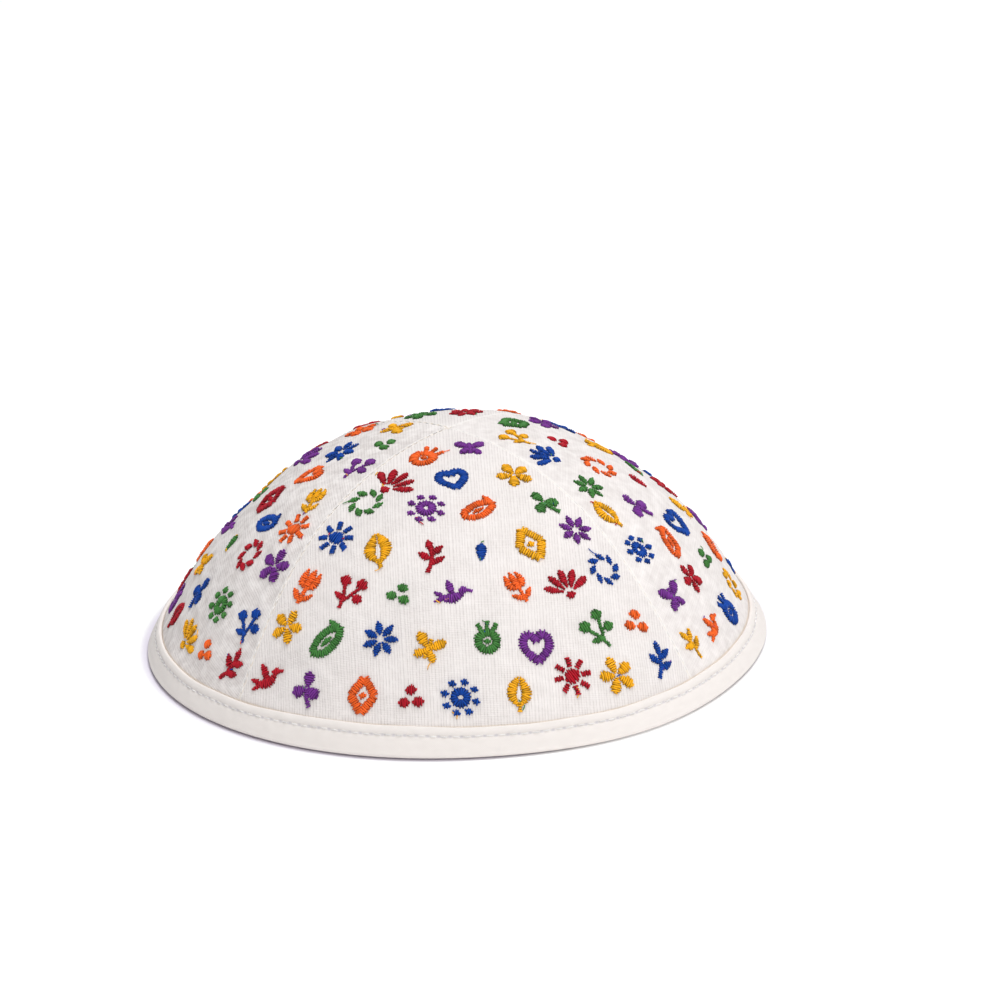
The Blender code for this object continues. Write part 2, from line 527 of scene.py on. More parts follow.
def choose_motifs():
    """Every motif of the cap, so that neighbours differ in kind and colour."""
    found = []
    for index, (_, degrees) in enumerate(PANELS):
        source = np.random.default_rng(70 + index)
        spots = scatter(index)
        motifs = []
        colours = []
        for k in range(len(spots)):
            if source.uniform() < SMALL_MOTIF_SHARE:
                motifs.append(source.choice(SMALL_MOTIFS))
            else:
                motifs.append(least_used_near(spots, k, motifs, MOTIFS, source, MOTIF_REACH))
            colours.append(least_used_near(spots, k, colours, THREADS, source, COLOUR_REACH))
        for (x, arc), motif, colour in zip(spots, motifs, colours):
            azimuth = math.radians(degrees) + x / along_crown(arc)[0]
            point, normal = on_curve(arc, azimuth)
            east = np.array([-math.sin(azimuth), math.cos(azimuth), 0])
            north = np.cross(normal, east)
            size = MOTIF_HALF * source.uniform(0.93, 1.1)
            turn = math.radians(source.uniform(-LARGEST_TURN, LARGEST_TURN))
            found.append(Place(motif, colour, index, x, arc, size, turn, point, east, north))
    return found


PLACES = choose_motifs()


def in_plane(place, flat):
    """Points of a motif's plane, in the crown's tangent plane at its centre."""
    c, s = math.cos(place.turn), math.sin(place.turn)
    x = flat[..., 0] * c - flat[..., 1] * s
    y = flat[..., 0] * s + flat[..., 1] * c
    return place.point + x[..., None] * place.east + y[..., None] * place.north


# The cloth's relief

sag = wave_noise(3, 46 * MM, 17 * MM, 9)
crease = wave_noise(5, 60 * MM, 24 * MM, 7)
crease_strength = wave_noise(6, 60 * MM, 30 * MM, 5)
ripple = wave_noise(8, 11 * MM, 5 * MM, 12)


def pucker(index, x, arc):
    """How the stitching draws the cloth in round each motif of a panel."""
    total = np.zeros(np.shape(x))
    for k, place in enumerate(p for p in PLACES if p.panel == index):
        dx = x - place.x
        dy = arc - place.arc
        gap = np.hypot(dx, dy) / place.size
        swirl = np.cos(7 * np.arctan2(dy, dx) + 2.4 * k)
        total -= 0.13 * MM * bell(gap, 0.95)
        total += 0.05 * MM * swirl * bell(gap - 1.3, 0.42)
    return total


def swell(arc, azimuth):
    """Where the crown as a whole stands above or below its even curve."""
    points, _ = on_curve(arc, azimuth)
    total = 0
    for degrees, swell_arc, width, rise in SWELLS:
        middle, _ = on_curve(swell_arc, math.radians(degrees))
        total = total + rise * bell(np.linalg.norm(points - middle, axis=-1), width)
    return total * smooth_step(0, 14 * MM, FOOT_ARC - arc)


def relief(arc, azimuth):
    """Height of the cloth above the crown's plain curve."""
    radius = along_crown(arc)[0]
    total = np.zeros(arc.shape)
    for index, (_, degrees) in enumerate(PANELS):
        off = (azimuth - math.radians(degrees) + math.pi) % (2 * math.pi) - math.pi
        here = np.abs(off) <= HALF_PANEL + 1e-9
        if not here.any():
            continue
        x = (radius * off)[here]
        y = arc[here]
        foot = FOOT_ARC - edge_rise(azimuth[here]) - y
        seam = np.abs(radius * np.sin(HALF_PANEL - np.abs(off)))[here]
        shift = 0.31 * (index + 1)
        loose = smooth_step(0, 9 * MM, seam) * smooth_step(0, 8 * MM, foot)
        loose *= smooth_step(0, 14 * MM, y)
        folds = bell(crease(x + shift, y - shift), 0.22)
        folds *= np.clip(crease_strength(x - shift, y + shift), 0, 1)
        h = SAG_HEIGHT * sag(x + shift, y) + CREASE_HEIGHT * folds + RIPPLE_HEIGHT * ripple(x, y + shift)
        h *= loose
        h += pucker(index, x, y) * smooth_step(0, 2 * MM, foot)
        folded = 1 - smooth_step(SEAM_ALLOWANCE - 0.7 * MM, SEAM_ALLOWANCE + 0.7 * MM, seam)
        h += ALLOWANCE_HEIGHT * folded
        for distance, width, left, right in SEAM_RIDGES:
            h += np.where(off[here] > 0, right, left) * bell(seam - distance, width)
        h += (TUCK_HEIGHT - h) * smooth_step(3 * MM, 0.4 * MM, foot)
        total[here] = h
    return total + swell(arc, azimuth)


# Meshes

def mesh_object(name, vertices, faces, material, attributes=None):
    """An object from arrays: each array of faces has rows of vertex numbers of one length."""
    mesh = bpy.data.meshes.new(name)
    mesh.vertices.add(len(vertices))
    mesh.vertices.foreach_set("co", np.asarray(vertices, np.float32).ravel())
    corners = np.concatenate([f.ravel() for f in faces])
    lengths = np.concatenate([np.full(len(f), f.shape[1]) for f in faces])
    mesh.loops.add(len(corners))
    mesh.loops.foreach_set("vertex_index", corners.astype(np.int32))
    mesh.polygons.add(len(lengths))
    mesh.polygons.foreach_set("loop_start", (np.cumsum(lengths) - lengths).astype(np.int32))
    mesh.update(calc_edges=True)
    for key, values in (attributes or {}).items():
        kind = "FLOAT" if np.ndim(values) == 1 else "FLOAT_VECTOR"
        field = "value" if kind == "FLOAT" else "vector"
        layer = mesh.attributes.new(key, kind, "POINT")
        layer.data.foreach_set(field, np.asarray(values, np.float32).ravel())
    mesh.validate()
    mesh.shade_smooth()
    mesh.materials.append(material)
    ob = bpy.data.objects.new(name, mesh)
    bpy.context.scene.collection.objects.link(ob)
    return ob


def grid_faces(index):
    """Quads between the neighbouring entries of a grid of vertex numbers."""
    corners = index[:-1, :-1], index[1:, :-1], index[1:, 1:], index[:-1, 1:]
    return np.stack(corners, -1).reshape(-1, 4)


def sweep(centres, ups, widths, heights, sides):
    """Closed tubes along rows of centres, with their widths and heights at each centre."""
    tubes, rings = centres.shape[:2]
    ahead = np.gradient(centres, axis=1)
    ahead /= np.linalg.norm(ahead, axis=-1, keepdims=True) + 1e-12
    aside = np.cross(ahead, ups)
    aside /= np.linalg.norm(aside, axis=-1, keepdims=True) + 1e-12
    up = np.cross(aside, ahead)
    angles = 2 * math.pi * np.arange(sides) / sides
    wide = aside[:, :, None] * np.cos(angles)[:, None] * widths[..., None, None]
    high = up[:, :, None] * np.sin(angles)[:, None] * heights[..., None, None]
    vertices = (centres[:, :, None] + wide + high).reshape(-1, 3)
    index = np.arange(tubes * rings * sides).reshape(tubes, rings, sides)
    around = np.concatenate([index, index[..., :1]], -1)
    corners = around[:, :-1, :-1], around[:, 1:, :-1], around[:, 1:, 1:], around[:, :-1, 1:]
    quads = np.stack(corners, -1)
    caps = np.concatenate([index[:, 0], index[:, -1, ::-1]])
    return vertices, quads.reshape(-1, 4), caps


# Crown panels

def panel_columns(half_arc):
    """Distances from the centre line of a row's vertices, close together beside the seams."""
    near = np.array([0, 0.14, 0.3, 0.48, 0.7, 1.0, 1.5, 2.3]) * MM
    near = near * min(1.0, half_arc / (4 * near[-1]))
    middle = np.linspace(-(half_arc - near[-1]), half_arc - near[-1], PANEL_COLUMNS)
    return np.concatenate([near - half_arc, middle[1:-1], half_arc - near[::-1]])


def add_panel(name, degrees, material):
    """One gore: its outer face, its inner face a wall away, and the edges between them."""
    middle = math.radians(degrees)
    rows = np.linspace(0, ARC[-1], round(ARC[-1] / PANEL_CELL) + 1)[1:]
    radii = along_crown(rows)[0]
    columns = np.array([panel_columns(radius * HALF_PANEL) for radius in radii])
    azimuths = middle + columns / radii[:, None]
    arcs = np.broadcast_to(rows[:, None], azimuths.shape)
    height = relief(arcs, azimuths)
    outer, _ = on_crown(arcs, azimuths, height)
    inner, _ = on_crown(arcs, azimuths, height - CROWN_WALL)
    tip = [on_crown(0.1 * MM, middle, lift - 0.3 * MM)[0] for lift in (0, -CROWN_WALL)]
    count = outer.shape[0] * outer.shape[1]
    index = np.arange(count).reshape(outer.shape[:2])
    back = index + count
    tips = (2 * count, 2 * count + 1)
    fan = np.stack([np.full(index.shape[1] - 1, tips[0]), index[0, :-1], index[0, 1:]], -1)
    fan_back = np.stack([np.full(index.shape[1] - 1, tips[1]), back[0, 1:], back[0, :-1]], -1)
    edges = [
        grid_faces(np.stack([index[:, 0], back[:, 0]], 1)),
        grid_faces(np.stack([back[:, -1], index[:, -1]], 1)),
        grid_faces(np.stack([index[-1], back[-1]], 0)),
        np.array([
            [index[0, 0], tips[0], tips[1], back[0, 0]],
            [tips[0], index[0, -1], back[0, -1], tips[1]],
        ]),
    ]
    vertices = np.concatenate([outer.reshape(-1, 3), inner.reshape(-1, 3), np.array(tip)])
    off = azimuths - middle
    seam = radii[:, None] * (HALF_PANEL - np.abs(off))
    across, along = in_flat_cloth(arcs, off)
    if name in CROSS_CUT:
        across, along = along, across
    ribbed, crumple_shade_share = (np.full_like(off, share) for share in CROSS_CUT.get(name, LENGTHWISE_CUT))
    foot = FOOT_ARC - edge_rise(azimuths) - arcs
    channels = {"weave": (across / MM, along / MM, ribbed), "edge": (seam / MM, foot / MM, crumple_shade_share)}
    attributes = {}
    for key, values in channels.items():
        flat = np.stack(values, -1).reshape(-1, 3)
        attributes[key] = np.concatenate([flat, flat, np.zeros((2, 3))])
    faces = [grid_faces(index), grid_faces(back)[:, ::-1], *edges, fan, fan_back]
    ob = mesh_object(name + "_cloth", vertices, faces, material, attributes)
    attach(ob, "root")
    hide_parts(name)


# Embroidery

# Six points along each stitch: share of its length, share of its height, of its radius, and its painted
# shine, a painted highlight on top and painted shade where it dives into the cloth
ACROSS = np.array([0.0, 0.09, 0.32, 0.68, 0.91, 1.0])
ARCH = np.array([-0.45, 0.34, 0.94, 0.94, 0.34, -0.45])
TAPER = np.array([0.6, 0.9, 1.0, 1.0, 0.9, 0.6])
PAINTED_SHINE = np.array([0.0, 0.45, 0.85, 0.85, 0.45, 0.0])
# the core under the stitches is darkened with painted shade
CORE_PAINTED_SHADE = -0.4

Stitches = namedtuple("Stitches", "points lifts radii tones")  # rows of six


def satin_stitches(colour):
    """The stitches across every stroke of a colour."""
    found = []
    for place in PLACES:
        if place.colour != colour:
            continue
        for layer, one in enumerate(MOTIFS[place.motif]):
            _, half, left, right = stitch_places(one, place.size)
            span = left[:, None] * (1 - ACROSS[:, None]) + right[:, None] * ACROSS[:, None]
            height = SATIN_HEIGHT * np.clip(half / (0.9 * MM), 0.55, 1)
            height += rng.normal(0, 0.03 * MM, len(half))
            thick = THREAD_RADIUS * rng.uniform(0.9, 1.1, (len(half), 1))
            tone = rng.uniform(-0.3, 0.35, (len(half), 1))
            lifts = LAYER_STEP * (layer % LAYERS) + height[:, None] * ARCH
            found.append(Stitches(in_plane(place, span), lifts, thick * TAPER, tone + PAINTED_SHINE))
    return found


def loose_thread(place, start, heading, bend, length, height, radius):
    """A short end of thread that lies on the cloth."""
    turn = heading + bend * ACROSS
    steps = length * np.diff(ACROSS, prepend=0)[:, None] * np.stack([np.cos(turn), np.sin(turn)], -1)
    path = in_plane(place, start + np.cumsum(steps, 0))
    lift = height * np.array([0.2, 0.9, 1.0, 0.8, 0.6, 0.4])
    return Stitches(path[None], lift[None], radius * TAPER[None], 0.25 + PAINTED_SHINE[None])


def loose_threads(colour):
    """Tails at some motifs' ends, and stray stitches that another colour's thread left beside them."""
    found = []
    for k, place in enumerate(PLACES):
        source = np.random.default_rng(900 + k)
        strokes = MOTIFS[place.motif]
        points = np.array(strokes[source.integers(len(strokes))].points) * place.size
        other = source.choice([name for name in THREADS if name != place.colour])
        heading, bend = source.uniform(0, 2 * math.pi), source.uniform(-1.6, 1.6)
        if source.uniform() < 0.3 and place.colour == colour:
            length = source.uniform(1.2, 2.8) * MM
            found.append(loose_thread(place, points[-1], heading, bend, length, 0.4 * MM, 0.12 * MM))
        if source.uniform() < 0.35 and other == colour:
            for end in (0, -1):
                start = points[end] + source.normal(0, 0.35 * MM, 2)
                length = source.uniform(0.7, 1.5) * MM
                stray = loose_thread(place, start, heading + end, 0.3, length, 0.42 * MM, 0.15 * MM)
                found.append(stray)
    return found


def underlays(colour):
    """A flat core under each stroke of a colour, which fills the gaps between its stitches."""
    found = []
    for place in PLACES:
        if place.colour != colour:
            continue
        for layer, one in enumerate(MOTIFS[place.motif]):
            centre, half, _, _ = stitch_places(one, place.size)
            if one.closed:
                centre = np.append(centre, centre[:1], 0)
                half = np.append(half, half[0])
            arc, azimuth = nearest_on_crown(in_plane(place, centre))
            lift = relief(arc, azimuth) + LAYER_STEP * (layer % LAYERS)
            points, normals = on_crown(arc, azimuth, lift)
            heights = np.full(len(half), CORE_HEIGHT)
            found.append(sweep(points[None], normals[None], 0.8 * half[None], heights[None], CORE_SIDES))
    return found


def add_embroidery(colour, material):
    """All the embroidery of one thread colour."""
    stitches = satin_stitches(colour) + loose_threads(colour)
    rows = Stitches(*(np.concatenate(part) for part in zip(*stitches)))
    arc, azimuth = nearest_on_crown(rows.points)
    points, normals = on_crown(arc, azimuth, relief(arc, azimuth) + rows.lifts)
    tubes = [sweep(points, normals, rows.radii, rows.radii, STITCH_SIDES), *underlays(colour)]
    vertices = np.concatenate([own for own, _, _ in tubes])
    starts = np.cumsum([0] + [len(own) for own, _, _ in tubes])
    quads = [own + start for start, (_, own, _) in zip(starts, tubes)]
    caps = [own + start for start, (_, _, own) in zip(starts, tubes)]
    # tone: random per stitch, plus the stitches' painted shine and the cores' painted shade
    tone = np.full(len(vertices), CORE_PAINTED_SHADE)
    tone[:starts[1]] = np.repeat(rows.tones.ravel(), STITCH_SIDES)
    ob = mesh_object("embroidery_" + colour, vertices, quads + caps, material, {"tone": tone})
    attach(ob, "root")


# Binding

def rounded(before, corner, after, radius, steps):
    """Points of an arc that rounds one corner of an outline."""
    corner = np.array(corner)
    to_before = np.array(before) - corner
    to_after = np.array(after) - corner
    to_before /= np.linalg.norm(to_before)
    to_after /= np.linalg.norm(to_after)
    half = math.acos(to_before @ to_after) / 2
    inward = (to_before + to_after) / np.linalg.norm(to_before + to_after)
    centre = corner + inward * radius / math.sin(half)
    start = corner + to_before * radius / math.tan(half) - centre
    end = corner + to_after * radius / math.tan(half) - centre
    angle = math.pi - 2 * half
    found = []
    for t in np.linspace(0, 1, steps):
        share = np.sin([(1 - t) * angle, t * angle]) / math.sin(angle)
        found.append(centre + start * share[0] + end * share[1])
    return found


def binding_section():
    """The strip's section, closed, as slope lengths and depths, starting at its upper outer fold."""
    roll = 0.46 * BINDING_CLOTH
    corners = [
        # slope length, depth, fold radius, arc steps, points on the way to the next corner
        (BINDING_WIDTH, 0.0, roll, 5, 20),
        (0.0, 0.0, OUTER_FOLD, 7, 1),
        (INNER_FOOT, INNER_FACE, INNER_FOLD, 4, 5),
        (BINDING_WIDTH, INNER_FACE, roll, 4, 0),
        (BINDING_WIDTH, CHANNEL_BACK, roll, 4, 2),
        (CHANNEL_FLOOR, CHANNEL_BACK, 0.05 * MM, 2, 0),
        (CHANNEL_FLOOR, CHANNEL_FACE, 0.05 * MM, 2, 2),
        (BINDING_WIDTH, CHANNEL_FACE, roll, 5, 0),
    ]
    folds = []
    for k, (along, depth, radius, steps, _) in enumerate(corners):
        before = corners[k - 1][:2]
        after = corners[(k + 1) % len(corners)][:2]
        folds.append(rounded(before, (along, depth), after, radius, steps))
    outline = []
    for fold, following, (*_, between) in zip(folds, folds[1:] + folds[:1], corners):
        outline += fold
        outline += list(np.linspace(fold[-1], following[0], between + 2)[1:-1])
    return np.array(outline)


STITCH_ALONG = BINDING_WIDTH - TOPSTITCH_DROP
JOIN_AZIMUTH = math.radians(-84.0)
band_wave = wave_noise(21, 70 * MM, 22 * MM, 7)
band_edge = wave_noise(22, 50 * MM, 14 * MM, 8)
band_drag = wave_noise(23, 9 * MM, 3.5 * MM, 10)


def stitch_phase(azimuth):
    """Turns of the stitch pattern: whole numbers lie at the middle of a stitch."""
    return azimuth * TOPSTITCH_COUNT / (2 * math.pi)


def binding_relief(along, azimuth):
    """Height of the strip's outer face above its plain slope."""
    run = azimuth * RIM_RADIUS
    turns = (azimuth + math.pi) / (2 * math.pi)
    closing = smooth_step(0, 0.02, turns) * smooth_step(0, 0.02, 1 - turns)
    near_top = along - STITCH_ALONG
    hole = 0.5 - 0.5 * np.cos(2 * math.pi * stitch_phase(azimuth))
    h = 0.20 * MM * bell(near_top - 1.15 * MM, 0.75 * MM)
    h += 0.12 * MM * bell(near_top + 2.6 * MM, 1.9 * MM)
    h -= (0.11 + 0.07 * hole) * MM * bell(near_top, 0.42 * MM)
    h += 0.05 * MM * hole * bell(np.abs(near_top) - 0.9 * MM, 0.5 * MM)
    h += closing * 0.10 * MM * band_wave(run, 2 * along)
    h += closing * 0.035 * MM * band_drag(run + along, 0.35 * (run - along))
    offset = run - JOIN_AZIMUTH * RIM_RADIUS - (along - BINDING_WIDTH / 2)
    h += 0.20 * MM * bell(offset - 0.5 * MM, 0.7 * MM) - 0.10 * MM * bell(offset + 0.35 * MM, 0.28 * MM)
    return h


def on_binding(along, depth, azimuth, lift):
    """Points of the strip, and the outward normals of its outer face."""
    closing = smooth_step(0, 0.05, np.abs(np.abs(azimuth) - math.pi))
    wander = closing * 0.12 * MM * band_edge(azimuth * RIM_RADIUS, 0.0) + edge_rise(azimuth)
    wander = wander * smooth_step(0.1, 1, along / BINDING_WIDTH)
    radius, height = rim_section(along + wander, depth - lift)
    normal = turned(azimuth, math.sin(BINDING_SLOPE), math.cos(BINDING_SLOPE))
    return settle(turned(azimuth, radius, height)), normal


def add_binding(material):
    """The strip folded round the rim: rolled upper fold, stitch groove, rounded foot, inner leg."""
    section = binding_section()
    steps = TOPSTITCH_COUNT * 5
    azimuth = -math.pi + 2 * math.pi * np.arange(steps) / steps
    along, azimuths = np.meshgrid(section[:, 0], azimuth)
    depth = np.broadcast_to(section[:, 1], along.shape)
    show = smooth_step(0.4 * MM, 2.2 * MM, along) * (1 - smooth_step(0.1 * MM, 1.0 * MM, depth))
    points, _ = on_binding(along, depth, azimuths, binding_relief(along, azimuths) * show)
    fold = smooth_step(0.5 * MM, 2.6 * MM, INNER_FACE - depth) * (1 - smooth_step(0, 2.4 * MM, along))
    points[..., 2] = np.maximum(points[..., 2], 0) + FOLD_LIFT * fold
    index = np.arange(points.shape[0] * points.shape[1]).reshape(points.shape[:2])
    index = np.concatenate([index, index[:1]])
    index = np.concatenate([index, index[:, :1]], 1)
    strip = np.stack([azimuths * RIM_RADIUS, along, depth], -1).reshape(-1, 3) / MM
    faces = [grid_faces(index)[:, ::-1]]
    ob = mesh_object("rim_binding_cloth", points.reshape(-1, 3), faces, material, {"weave": strip})
    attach(ob, "root")
    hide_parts("rim_binding")


def add_sewing(name, points, ups, taper, material):
    """Short stitches along rows of points, each with a tone of its own."""
    radii = SEWING_RADIUS * np.broadcast_to(taper, points.shape[:2])
    vertices, quads, caps = sweep(points, ups, radii, radii, SEWING_SIDES)
    tone = np.repeat(rng.uniform(0, 1, len(points)), SEWING_SIDES * points.shape[1])
    ob = mesh_object(name, vertices, [quads, caps], material, {"tone": tone})
    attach(ob, "root")
    return ob


def add_topstitches(material):
    """Stitches in the binding's groove, and the row that shows on its inner leg."""
    pitch = 2 * math.pi / TOPSTITCH_COUNT
    middle = -math.pi + pitch * np.arange(TOPSTITCH_COUNT)
    middle = middle + pitch * rng.normal(0, 0.03, TOPSTITCH_COUNT)
    share = np.array([-0.5, -0.42, -0.18, 0.18, 0.42, 0.5])
    dive = np.array([-0.25, 0.04, 0.16, 0.16, 0.04, -0.25]) * MM
    azimuth = middle[:, None] + pitch * TOPSTITCH_LENGTH * share
    along = STITCH_ALONG + rng.normal(0, 0.05 * MM, (TOPSTITCH_COUNT, 1)) + 0 * azimuth
    lift = binding_relief(np.full_like(azimuth, STITCH_ALONG), azimuth) + dive
    outer, normals = on_binding(along, np.zeros_like(azimuth), azimuth, lift)
    inner, _ = on_binding(along, np.full_like(azimuth, INNER_FACE), azimuth, -dive)
    for name, points, ups in (("topstitches", outer, normals), ("inner_stitches", inner, -normals)):
        add_sewing(name, points, ups, TAPER, material)


def add_seam_stitches(material):
    """Short stitches that glint in the groove of each seam."""
    count = int((FOOT_ARC - 3 * MM) / SEAM_STITCH_PITCH)
    middle = 3 * MM + SEAM_STITCH_PITCH * np.arange(count)
    share = np.array([-0.5, -0.4, 0.0, 0.4, 0.5])
    dive = np.array([-0.2, 0.06, 0.15, 0.06, -0.2]) * MM
    rows = []
    for _, degrees in PANELS:
        jitter = rng.normal(0, 0.1 * MM, (count, 1))
        arc = middle[:, None] + jitter + 0.6 * SEAM_STITCH_PITCH * share
        side = rng.normal(0, 0.05 * MM, (count, 1))
        azimuth = math.radians(degrees) + HALF_PANEL + side / along_crown(arc)[0]
        seat = np.full_like(arc, math.radians(degrees) + HALF_PANEL)
        rows.append(on_crown(arc, azimuth, relief(arc, seat) + dive))
    points = np.concatenate([r[0] for r in rows])
    normals = np.concatenate([r[1] for r in rows])
    taper = [0.6, 0.9, 1.0, 0.9, 0.6]
    add_sewing("seam_stitches", points, normals, taper, material)


# Materials

class Nodes:
    """Short calls for building a material's nodes."""

    def __init__(self, name):
        self.material = bpy.data.materials.new(name)
        self.material.use_nodes = True
        self.tree = self.material.node_tree
        self.shader = self.tree.nodes["Principled BSDF"]

    def add(self, kind, inputs=None, **settings):
        node = self.tree.nodes.new(kind)
        for key, value in settings.items():
            setattr(node, key, value)
        for key, value in (inputs or {}).items():
            self.give(node.inputs[key], value)
        return node

    def give(self, socket, value):
        if isinstance(value, bpy.types.NodeSocket):
            self.tree.links.new(value, socket)
        else:
            socket.default_value = value

    def math(self, operation, *values):
        return self.add("ShaderNodeMath", dict(enumerate(values)), operation=operation).outputs[0]

    def times(self, a, b):
        return self.math("MULTIPLY", a, b)

    def noise(self, vector, scale, detail=2.0):
        inputs = {"Vector": vector, "Scale": scale, "Detail": detail}
        return self.add("ShaderNodeTexNoise", inputs).outputs["Fac"]

    def attribute(self, name, output="Vector"):
        return self.add("ShaderNodeAttribute", attribute_name=name).outputs[output]

    def parts(self, vector):
        return self.add("ShaderNodeSeparateXYZ", {0: vector}).outputs

    def stretched(self, vector, x, y):
        node = self.add("ShaderNodeVectorMath", {0: vector, 1: (x, y, 1.0)}, operation="MULTIPLY")
        return node.outputs[0]

    def mix(self, factor, dark, light):
        inputs = {0: factor, 6: dark, 7: light}
        return self.add("ShaderNodeMix", inputs, data_type="RGBA").outputs[2]

    def ramp(self, value, low, high):
        """Rises smoothly from 0 to 1 as the value goes from low to high."""
        inputs = {"Value": value, "From Min": low, "From Max": high}
        node = self.add("ShaderNodeMapRange", inputs, interpolation_type="SMOOTHSTEP")
        return node.outputs["Result"]

    def lines(self, along, pitch, shift=0.0, sharpness=2.0):
        """Lines across a direction, 1 at their middle, moved along it by a share of the pitch."""
        turns = self.math("SUBTRACT", self.math("DIVIDE", along, pitch), shift)
        wave = self.math("COSINE", self.times(turns, 2 * math.pi))
        return self.math("POWER", self.math("MULTIPLY_ADD", wave, 0.5, 0.5), sharpness)

    def bump(self, height, strength, distance, before=None):
        inputs = {"Height": height, "Strength": strength, "Distance": distance}
        if before is not None:
            inputs["Normal"] = before
        return self.add("ShaderNodeBump", inputs).outputs[0]

    def finish(self, colour, roughness, normal=None, sheen=0.0):
        inputs = {"Base Color": colour, "Roughness": roughness, "Specular IOR Level": 0.2}
        inputs.update({"Sheen Weight": sheen, "Sheen Roughness": 0.6})
        if normal is not None:
            inputs["Normal"] = normal
        for key, value in inputs.items():
            self.give(self.shader.inputs[key], value)
        return self.material


def grey(value, tint=(1.0, 1.0, 1.0)):
    return (value * tint[0], value * tint[1], value * tint[2], 1.0)


def panel_cloth():
    """Off-white cotton with irregular ribs down each panel, finer cross threads and slubs, with painted
    shade on its crumples, in its seams and under the binding's edge, and a painted highlight along each
    seam.
    """
    n = Nodes("panel_cloth")
    cloth = n.attribute("weave")
    x, y, ribbed = n.parts(cloth)
    seam, foot, crumple_shade_share = n.parts(n.attribute("edge"))
    slub = n.noise(n.stretched(cloth, 1.4, 0.05), 1.0, 3.0)
    cross_slub = n.noise(n.stretched(cloth, 0.05, 2.1), 1.0, 3.0)
    broken = n.noise(n.stretched(cloth, 1.3, 0.7), 1.0)
    patch = n.noise(cloth, 0.08)
    crumple = n.noise(cloth, 0.32, 3.0)
    rib_drift = n.times(n.noise(n.stretched(cloth, 0.4, 0.012), 1.0), 1.6)
    cross_drift = n.times(n.noise(n.stretched(cloth, 0.012, 0.6), 1.0), 1.8)
    ribs = n.lines(x, RIB_PITCH / MM, rib_drift, 3.0)
    crossings = n.lines(y, CROSS_PITCH / MM, cross_drift)
    strength = n.times(n.ramp(slub, 0.05, 0.60), n.ramp(broken, 0.14, 0.62))
    rib_lines = n.times(n.times(ribs, strength), ribbed)
    cross_lines = n.times(crossings, n.ramp(patch, 0.30, 0.60))
    gaps = n.math("MULTIPLY_ADD", cross_lines, 0.55, n.times(rib_lines, 1.2))
    thick = n.math("ADD", slub, n.times(cross_slub, 0.6))
    height = n.math("SUBTRACT", thick, gaps)
    # painted shade of the crumples, strongest on the left panel, which it also darkens a little overall
    painted_crumple_shade = n.times(n.math("MULTIPLY_ADD", crumple, 2.4, -1.3), crumple_shade_share)
    shade = n.math("ADD", n.math("MULTIPLY_ADD", height, 0.5, 0.42), painted_crumple_shade)
    colour = n.mix(shade, grey(0.67, (1.0, 0.925, 0.895)), grey(0.89, (1.0, 0.948, 0.926)))
    # painted highlight along each seam's ridge
    painted_ridge_highlight = n.times(n.ramp(seam, 0.85, 0.35), 0.6)
    colour = n.mix(painted_ridge_highlight, colour, grey(0.93, (1.0, 0.965, 0.935)))
    # tan painted shade in each seam's groove, darker at each stitch, and a painted shadow line where the
    # binding's upper edge stands off the panel
    stitched = n.math("MULTIPLY_ADD", n.lines(foot, SEAM_STITCH_PITCH / MM), 0.35, 0.22)
    painted_seam_shade = n.times(n.ramp(seam, 0.4, 0.1), stitched)
    painted_foot_shadow = n.times(n.ramp(foot, 0.5, 0.05), 0.55)
    tint = n.math("MAXIMUM", painted_seam_shade, painted_foot_shadow)
    colour = n.mix(tint, colour, grey(0.70, (1.0, 0.84, 0.66)))
    bump = n.bump(height, 0.45, 0.12 * MM, n.bump(crumple, 0.5, 0.6 * MM))
    return n.finish(colour, 0.92, bump, 0.04)


def binding_cloth():
    """Cream cotton cut on the bias, with the needle's holes in painted shade, and painted contact shade
    darkening its lower fold where it meets the table.
    """
    n = Nodes("binding_cloth")
    cloth = n.attribute("weave")
    run, along, _ = n.parts(cloth)
    warp = n.lines(n.math("ADD", run, along), 0.5)
    weft = n.lines(n.math("SUBTRACT", run, along), 0.5)
    mottle = n.noise(n.stretched(cloth, 0.4, 1.0), 0.7, 4.0)
    height = n.math("MULTIPLY_ADD", n.math("ADD", warp, weft), 0.22, mottle)
    shade = n.math("MULTIPLY_ADD", height, 0.5, 0.22)
    colour = n.mix(shade, grey(0.76, (1.0, 0.93, 0.885)), grey(0.91, (1.0, 0.943, 0.908)))
    # the needle holes are dented by the bump and darkened with lilac painted shade
    pitch = 2 * math.pi * RIM_RADIUS / TOPSTITCH_COUNT / MM
    near_row = n.math("ABSOLUTE", n.math("SUBTRACT", along, STITCH_ALONG / MM))
    holes_and_hole_shade = n.times(n.lines(run, pitch, 0.5, 2.5), n.ramp(near_row, 0.5, 0.15))
    colour = n.mix(n.times(holes_and_hole_shade, 0.6), colour, grey(0.54, (1.0, 0.95, 1.04)))
    # painted contact shade: the lower fold of both legs is darkened where the strip meets the table
    painted_contact_shade = n.times(n.ramp(along, 0.8, 0.2), 0.8)
    colour = n.mix(painted_contact_shade, colour, grey(0.22, (1.0, 0.80, 0.76)))
    bump = n.bump(n.math("MULTIPLY_ADD", holes_and_hole_shade, -2.0, height), 0.35, 0.06 * MM)
    return n.finish(colour, 0.85, bump, 0.04)


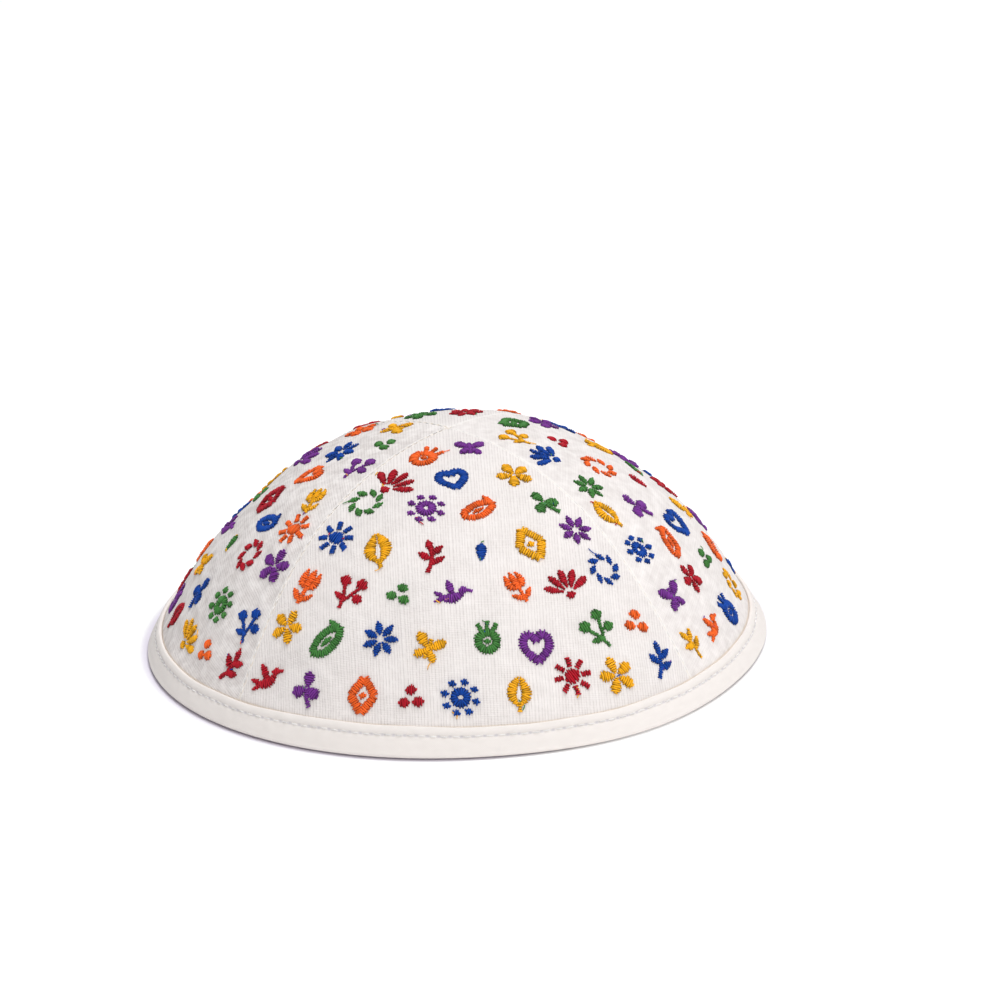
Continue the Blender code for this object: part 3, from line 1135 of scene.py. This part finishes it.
def thread(name, colour, darkest=0.34, lightest=1.12):
    """Shiny thread, a little different from stitch to stitch, with a painted highlight along each
    stitch's top and painted shade where it dives into the cloth and on the cores beneath.
    """
    n = Nodes(name)
    # the tone holds random tone per stitch, painted shine and the cores' painted shade
    tone = n.attribute("tone", "Fac")
    place = n.add("ShaderNodeTexCoord").outputs["Object"]
    patch = n.noise(place, 260.0)
    factor = n.math("MULTIPLY_ADD", n.math("SUBTRACT", patch, 0.5), 0.5, tone)
    dark = grey(darkest, colour)
    light = tuple(min(1.0, c) for c in grey(lightest, colour))
    tone_and_painted_shine = n.mix(factor, dark, light)
    twist = n.noise(place, 5200.0, 1.0)
    return n.finish(tone_and_painted_shine, 0.48, n.bump(twist, 0.3, 0.04 * MM))


# Floor, lights and camera

def add_floor():
    """White paper that glows with painted light, less towards the cap, with a faint lilac painted shade
    along its rim.
    """
    bpy.ops.mesh.primitive_plane_add(size=12.0, location=(-PAINTED_SHADE_SHIFT, 0, 0))
    floor = bpy.context.active_object
    floor.name = "floor"
    n = Nodes("floor")
    place = n.add("ShaderNodeTexCoord").outputs["Object"]
    away = n.add("ShaderNodeVectorMath", {0: place}, operation="LENGTH").outputs["Value"]
    # painted glow, dimmed towards the cap's rim
    near = n.times(n.ramp(away, 1.0 * RIM_RADIUS, 1.04 * RIM_RADIUS), 0.22)
    painted_glow = n.math("MULTIPLY_ADD", n.ramp(away, 1.02 * RIM_RADIUS, 3 * RIM_RADIUS), 0.18, near)
    n.give(n.shader.inputs["Emission Strength"], painted_glow)
    n.shader.inputs["Emission Color"].default_value = grey(1.0, (0.97, 0.97, 1.0))
    # painted lilac shade in a ring along the cap's rim
    shade = n.ramp(away, 0.99 * RIM_RADIUS, 1.015 * RIM_RADIUS)
    n.finish(n.mix(shade, grey(0.80, (0.99, 0.94, 1.05)), grey(0.93)), 0.9)
    floor.data.materials.append(n.material)


def add_light(name, place, size, power, colour):
    data = bpy.data.lights.new(name, "AREA")
    data.shape = "DISK"
    data.size = size
    data.energy = power
    data.color = colour
    light = bpy.data.objects.new(name, data)
    light.location = place
    light.rotation_euler = (-Vector(place)).to_track_quat("-Z", "Y").to_euler()
    bpy.context.scene.collection.objects.link(light)


def add_lights():
    world = bpy.data.worlds.new("studio")
    world.use_nodes = True
    world.node_tree.nodes["Background"].inputs["Color"].default_value = (0.97, 0.985, 1.0, 1.0)
    world.node_tree.nodes["Background"].inputs["Strength"].default_value = 0.28
    bpy.context.scene.world = world
    add_light("key", (0.45, -1.3, 1.3), 1.0, 13.5, (1.0, 0.985, 0.965))
    add_light("top", (0.3, 0.2, 1.8), 1.2, 21.0, (0.98, 0.99, 1.0))


def add_camera():
    data = bpy.data.cameras.new("camera")
    data.sensor_width = SENSOR_MM
    data.lens = CAMERA_FOCAL_PX * SENSOR_MM / PICTURE_PX
    data.clip_start = 0.01
    camera = bpy.data.objects.new("camera", data)
    round_cap = Matrix.Rotation(CAMERA_AZIMUTH, 3, "Z")
    back = round_cap @ Vector((0, -math.cos(CAMERA_ELEVATION), math.sin(CAMERA_ELEVATION)))
    right = round_cap @ Vector((1, 0, 0))
    facing = Matrix((right, back.cross(right), back)).transposed()
    roll = Matrix.Rotation(CAMERA_ROLL, 3, "Z")
    pan = Matrix.Rotation(CAMERA_PAN, 3, "Y")
    tilt = Matrix.Rotation(CAMERA_TILT, 3, "X")
    camera.matrix_world = Matrix.Translation(back * CAMERA_DISTANCE) @ (
        facing @ (roll @ pan @ tilt).transposed()
    ).to_4x4()
    bpy.context.scene.collection.objects.link(camera)
    bpy.context.scene.camera = camera
    bpy.context.scene.view_settings.view_transform = "Standard"


# The whole cap

cloth = panel_cloth()
for panel_name, panel_azimuth in PANELS:
    add_panel(panel_name, panel_azimuth, cloth)
sewing = thread("sewing_thread", (0.84, 0.82, 0.81), 0.86, 1.04)
add_binding(binding_cloth())
add_topstitches(sewing)
add_seam_stitches(sewing)
for thread_name, thread_colour in THREADS.items():
    add_embroidery(thread_name, thread("thread_" + thread_name, thread_colour))

add_floor()
add_lights()
add_camera()
